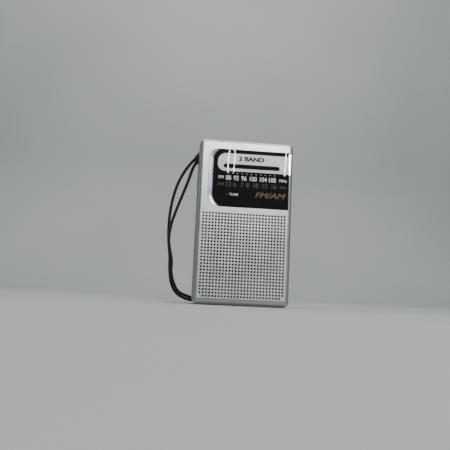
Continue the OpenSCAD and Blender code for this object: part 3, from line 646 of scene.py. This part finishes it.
def grille_holes():
    """A square grid of holes without its two lowest corners."""
    half = HOLES_PER_ROW // 2
    holes = []
    for row in range(-half, half + 1):
        for column in range(-half, half + 1):
            if row > -half or abs(column) < half:
                holes.append(circle(column * HOLE_PITCH, GRILLE_Z + row * HOLE_PITCH, HOLE_R, HOLE_SIDES))
    return holes


def build_panel():
    loops = [panel_outline()] + grille_holes()
    mesh = cut_plate("front_panel_face", loops, PANEL_Y, PANEL_BACK_Y, PANEL_EDGE)
    panel = add_piece("front_panel_face", mesh, MATERIALS["panel_paint"], smooth=False)
    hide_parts("front_panel")
    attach(panel, "case")


def build_trim():
    """The scooped silver crescent between the panel's face and the window."""
    steps = 8
    line = window_left_side(steps=16)
    points, faces = [], []
    for x, z in line:
        for k in range(steps + 1):
            t = k / steps
            y = PANEL_Y + TRIM_START + TRIM_SCOOP * (1 - math.cos(t * math.pi / 2))
            points.append(Vector((x - TRIM_W * (1 - t) + TRIM_GAP, y, z)) * MM)
        points.append(Vector((x, SEAT_Y, z)) * MM)
        points.append(Vector((x - TRIM_W + TRIM_GAP, SEAT_Y, z)) * MM)
    ring = steps + 3
    for i in range(len(line) - 1):
        for k in range(ring):
            a, b = i * ring + k, i * ring + (k + 1) % ring
            faces.append((a, a + ring, b + ring, b))
    trim = add_piece("window_trim_scoop", mesh_from("window_trim_scoop", points, faces), TRIM_PLATE)
    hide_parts("window_trim")
    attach(trim, "case")


build_panel()
build_trim()


# ---------- dial ----------

LENS_Y = -15.35
LENS_THICK = 0.35
LENS_EDGE = 0.1
LENS_GAP = 0.05
LENS_RIGHT = 32.9
FACET_START_X = 31.2
FACET_DEG = 20
BAND_Y = -14.95
BAND_THICK = 0.06
BAND_EDGE = 0.01
BAND_RIGHT = LENS_RIGHT - 0.1
BAND_LEFT = -20.7
BAND_BOTTOM = 96.1
BAND_BOTTOM_R = 5.0
BAND_TOP = 109.2
BAND_TOP_R = 6.0
SLOT_LEFT = -16.5
SLOT_RIGHT = 24.5
SLOT_BOTTOM = 98.2
SLOT_TOP = 101.4
PLATE_Y = -14.88
PLATE_BACK_Y = -14.3
PLATE_EDGE = 0.02
PLATE_GAP = 0.08
PLATE_RIGHT = LENS_RIGHT - 0.05
LAMP_X = -13.0
LAMP_Z = 79.0
LAMP_HOLE_R = 0.7


def bend_right_end(mesh):
    """Slopes the window's right end back in a narrow facet, over the rim of the case."""
    for vertex in mesh.vertices:
        over = max(vertex.co.x - FACET_START_X * MM, 0)
        vertex.co.y += over * math.tan(math.radians(FACET_DEG))


def crease(mesh, x):
    """Cuts the mesh with an upright plane so that it can bend there."""
    work = bmesh.new()
    work.from_mesh(mesh)
    geometry = work.verts[:] + work.edges[:] + work.faces[:]
    bmesh.ops.bisect_plane(work, geom=geometry, plane_co=(x * MM, 0, 0), plane_no=(1, 0, 0))
    work.to_mesh(mesh)
    work.free()


def faceted_plate(name, loops, y_front, y_back, edge):
    """A plate of the dial with its right end sloped back."""
    mesh = cut_plate(name, loops, y_front, y_back, edge)
    crease(mesh, FACET_START_X)
    bend_right_end(mesh)
    return mesh


def window_outline(right, gap):
    """The window's outline, drawn in by a gap, out to its right end."""
    left_side = window_left_side(grow=-gap, steps=14)
    return [(right, WINDOW_TOP - gap)] + left_side + [(right, WINDOW_BOTTOM + gap)]


def slot_loop():
    """The pointer's slot, with round ends."""
    r = (SLOT_TOP - SLOT_BOTTOM) / 2
    middle = (SLOT_TOP + SLOT_BOTTOM) / 2
    left_end = arc(SLOT_LEFT + r, middle, r, 90, 270, 10)
    right_end = arc(SLOT_RIGHT - r, middle, r, -90, 90, 10)
    return left_end + right_end


def band_outline():
    upper = arc(BAND_LEFT + BAND_TOP_R, BAND_TOP - BAND_TOP_R, BAND_TOP_R, 90, 180, 10)
    lower = arc(BAND_LEFT + BAND_BOTTOM_R, BAND_BOTTOM + BAND_BOTTOM_R, BAND_BOTTOM_R, 180, 270, 10)
    return [(BAND_RIGHT, BAND_TOP)] + upper + lower + [(BAND_RIGHT, BAND_BOTTOM)]


def build_dial():
    """The clear window, the pale band behind it and the black plate behind both."""
    lens_loops = [window_outline(LENS_RIGHT, LENS_GAP)]
    lens_mesh = faceted_plate("dial_lens_window", lens_loops, LENS_Y, LENS_Y + LENS_THICK, LENS_EDGE)
    lens = add_piece("dial_lens_window", lens_mesh, MATERIALS["clear_lens"])
    band_loops = [band_outline(), slot_loop()]
    band_mesh = faceted_plate("dial_band_print", band_loops, BAND_Y, BAND_Y + BAND_THICK, BAND_EDGE)
    band = add_piece("dial_band_print", band_mesh, MATERIALS["band_print"])
    lamp_hole = circle(LAMP_X, LAMP_Z, LAMP_HOLE_R, HOLE_SIDES)
    plate_loops = [window_outline(PLATE_RIGHT, PLATE_GAP), slot_loop(), lamp_hole]
    plate_mesh = faceted_plate("dial_scale_plate", plate_loops, PLATE_Y, PLATE_BACK_Y, PLATE_EDGE)
    plate = add_piece("dial_scale_plate", plate_mesh, MATERIALS["black_plate"])
    sharp_angle = math.radians(15)
    for piece, node, slot in ((lens, "dial_lens", "clear_lens"), (band, "dial_band", "band_print"),
                              (plate, "dial_scale", "black_plate")):
        piece.data.set_sharp_from_angle(angle=sharp_angle)
        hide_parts(node)
        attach(piece, "case")


PRINT_Y = -14.9
BAND_PRINT_Y = BAND_Y - 0.01
# Each copy of a letter lies this much further forward; copies in one plane would shade each other.
INK_STEP = 0.008
# A capital letter's height, as a share of the font's size.
CAPITAL_SHARE = 0.72
# Where the copies of a letter go, as shares of its boldness to the right and up.
COPY_SHIFTS = [(0, 0), (-1, -0.6), (-1, 0.6), (1, -0.6), (1, 0.6)]
FM_ROW_Z = 91.0
AM_ROW_Z = 86.2
TICK_COUNT = 11
TICK_PITCH = 3.4
TICK_LEFT_X = -13.0
TICK_Z = 94.5
TICK_R = 0.32
TICK_SIDES = 8
WHITE_INK = ink("white_ink", (0.97, 0.96, 0.97))
BROWN_INK = ink("brown_ink", (0.06, 0.048, 0.036))
GOLD_INK = ink("gold_ink", (0.13, 0.075, 0.025))
DARK_INK = ink("dark_ink", (0.01, 0.009, 0.01))


def lettering(name, text, x, z, height, material, y=PRINT_Y, widen=1.0, slant=0.0, bold=0.0):
    """A word or number printed at x and z, given the height of its capitals; all in millimetres."""
    curve = bpy.data.curves.new(name, "FONT")
    curve.body = text
    curve.align_x = "CENTER"
    curve.align_y = "CENTER"
    curve.size = height / CAPITAL_SHARE * MM
    curve.shear = slant
    obj = bpy.data.objects.new(name, curve)
    bpy.context.scene.collection.objects.link(obj)
    flat = evaluated(obj)
    points, faces = [], []
    for layer, (right, up) in enumerate(COPY_SHIFTS):
        first = len(points)
        centre_x = (x + right * bold) * MM
        centre_z = (z + up * bold) * MM
        copy_y = (y - INK_STEP * layer) * MM
        for vertex in flat.vertices:
            points.append((vertex.co.x * widen + centre_x, copy_y, vertex.co.y + centre_z))
        faces += [tuple(first + v for v in face.vertices) for face in flat.polygons]
    piece = add_piece(name, mesh_from(name, points, faces), material, smooth=False)
    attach(piece, "case")


def build_scale():
    """Dial numbers for both bands, tick dots and band names."""
    fm = {"88": -12.6, "92": -6.95, "96": -1.3, "100": 5.1, "104": 12.5, "108": 19.1}
    am = {"53": -12.6, "6": -7.8, "7": -2.7, "8": 1.4, "10": 7.3, "13": 13.7, "16": 20.4}
    for text, x in fm.items():
        lettering("fm_" + text, text, x, FM_ROW_Z, 3.35, WHITE_INK, widen=0.84, bold=0.08)
    lettering("fm_name", "FM", -17.9, FM_ROW_Z + 0.2, 2.3, WHITE_INK, bold=0.07)
    lettering("fm_unit", "MHz", 27.2, FM_ROW_Z, 2.1, WHITE_INK, bold=0.07)
    for text, x in am.items():
        lettering("am_" + text, text, x, AM_ROW_Z, 3.4, BROWN_INK, widen=0.9, bold=0.1)
    lettering("am_name", "AM", -18.0, AM_ROW_Z, 2.3, BROWN_INK, bold=0.08)
    lettering("am_unit", "kHz", 27.4, AM_ROW_Z, 2.1, BROWN_INK, bold=0.08)
    lettering("tune_word", "TUNE", LAMP_X + 4.7, LAMP_Z, 1.8, WHITE_INK, bold=0.06)
    lettering("band_names", "FM/AM", 17.6, LAMP_Z + 0.4, 3.9, GOLD_INK, widen=1.34, slant=0.28, bold=0.2)
    lettering("band_words", "2 BAND", 3.6, 105.4, 3.3, DARK_INK, y=BAND_PRINT_Y, widen=1.15, bold=0.3)
    for i in range(TICK_COUNT):
        loop = circle(TICK_LEFT_X + TICK_PITCH * i, TICK_Z, TICK_R, TICK_SIDES)
        points = [(x * MM, PRINT_Y * MM, z * MM) for x, z in loop]
        dot = mesh_from("tick", points, [tuple(range(TICK_SIDES))])
        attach(add_piece(f"tick_{i + 1}", dot, WHITE_INK, smooth=False), "case")


build_dial()
build_scale()


# ---------- CAD nodes keep their shape and get their finish ----------

EDGE_SEGMENTS = 2
EDGE_ANGLE_DEG = 35
# Widths of the rounded edges; every node not listed gets the small one.
SMALL_EDGE = 0.05
SOFT_EDGES = {
    "front_shell": 0.12, "rear_shell": 0.15, "battery_door": 0.2, "case_screws": 0.1,
    "tuning_wheel": 0.12, "volume_wheel": 0.12, "band_switch_knob": 0.12, "earphone_jack": 0.15,
    "antenna_base": 0.2, "antenna_tube_1": 0.1, "antenna_tip": 0.5, "strap_anchor": 0.3,
    "coil_cans": 0.2, "radio_chip": 0.1,
}


def soften(obj, width_mm):
    """Small rounded edges and smooth shading on a CAD node, by a modifier."""
    obj.data.shade_smooth()
    bevel = obj.modifiers.new("edges", "BEVEL")
    bevel.width = width_mm * MM
    bevel.segments = EDGE_SEGMENTS
    bevel.limit_method = "ANGLE"
    bevel.angle_limit = math.radians(EDGE_ANGLE_DEG)
    bevel.harden_normals = True


def finish_cad_nodes():
    """Gives each node the material its record names, and soft edges."""
    slots = {part["node"]: part["material_slot"] for part in frame["record"]["subparts"]}
    for name, obj in NODES.items():
        material = MATERIALS[slots[name]]
        if not obj.material_slots:
            obj.data.materials.append(material)
        for slot in obj.material_slots:
            slot.link = "OBJECT"
            slot.material = material
        soften(obj, SOFT_EDGES.get(name, SMALL_EDGE))


finish_cad_nodes()


# ---------- stage and light ----------

def build_stage():
    """A pale floor that curves up into a backdrop."""
    s = Shader("stage_paper")
    uneven = s.remap(s.noise(3, 3), 0.3, 0.7, 0, 1)
    s.colour(s.blend(uneven, (0.34, 0.36, 0.36), (0.40, 0.42, 0.42)))
    s.set(Roughness=0.7)
    half_width = 3.0
    front = -2.0
    back = 0.75
    rise = 3.0
    curve_r = 0.3
    profile = [(front, 0.0)]
    profile += arc(back - curve_r, curve_r, curve_r, -90, 0, 16)
    profile.append((back, rise))
    points = [(x, y, z) for y, z in profile for x in (-half_width, half_width)]
    faces = [(2 * i, 2 * i + 1, 2 * i + 3, 2 * i + 2) for i in range(len(profile) - 1)]
    stage = add_piece("stage_sweep", mesh_from("stage_sweep", points, faces), s.material)


def area_light(name, position, target, width, height, watts, colour=(1, 1, 1)):
    """A rectangular lamp facing its target; all in metres."""
    data = bpy.data.lights.new(name, "AREA")
    data.shape = "RECTANGLE"
    data.size = width
    data.size_y = height
    data.energy = watts
    data.color = colour
    light = bpy.data.objects.new(name, data)
    aim = (Vector(target) - Vector(position)).to_track_quat("-Z", "Y").to_matrix().to_4x4()
    light.matrix_world = Matrix.Translation(position) @ aim
    bpy.context.scene.collection.objects.link(light)


# The three narrow lamps that the window mirrors as upright streaks.
TUBE_X = (0.1076, 0.1294, 0.3185)
COOL_WHITE = (0.93, 0.97, 1.0)


def build_light():
    """A dim room, soft boxes round the radio and narrow lamps for the window's reflections."""
    world = bpy.data.worlds.new("room")
    world.use_nodes = True
    background = world.node_tree.nodes["Background"]
    background.inputs["Color"].default_value = (*COOL_WHITE, 1)
    background.inputs["Strength"].default_value = 0.13
    bpy.context.scene.world = world
    centre = (0, 0, 0.06)
    area_light("softbox_above", (0.22, -0.85, 0.54), centre, 0.55, 0.26, 6.4)
    area_light("ceiling", (0.0, 0.05, 1.1), (0.0, 0.05, 0.0), 0.8, 0.5, 7)
    area_light("backdrop_wash", (0.0, 0.1, 1.2), (0, 0.8, 0.3), 1.4, 0.3, 5.4)
    area_light("softbox_right", (0.8, -0.40, 0.25), centre, 0.7, 0.3, 0.3, COOL_WHITE)
    area_light("fill_left", (-0.9, -0.3, 0.3), centre, 0.7, 0.3, 0.7)
    for x in TUBE_X:
        area_light("tube_reflection", (x, -1.5, 0.487), (x, 0, 0.1), 0.0045, 0.085, 0.033)
    area_light("facet_reflection", (0.735, -0.577, 0.331), (0.032, -0.015, 0.103), 0.014, 0.0505, 0.25)


build_stage()
build_light()
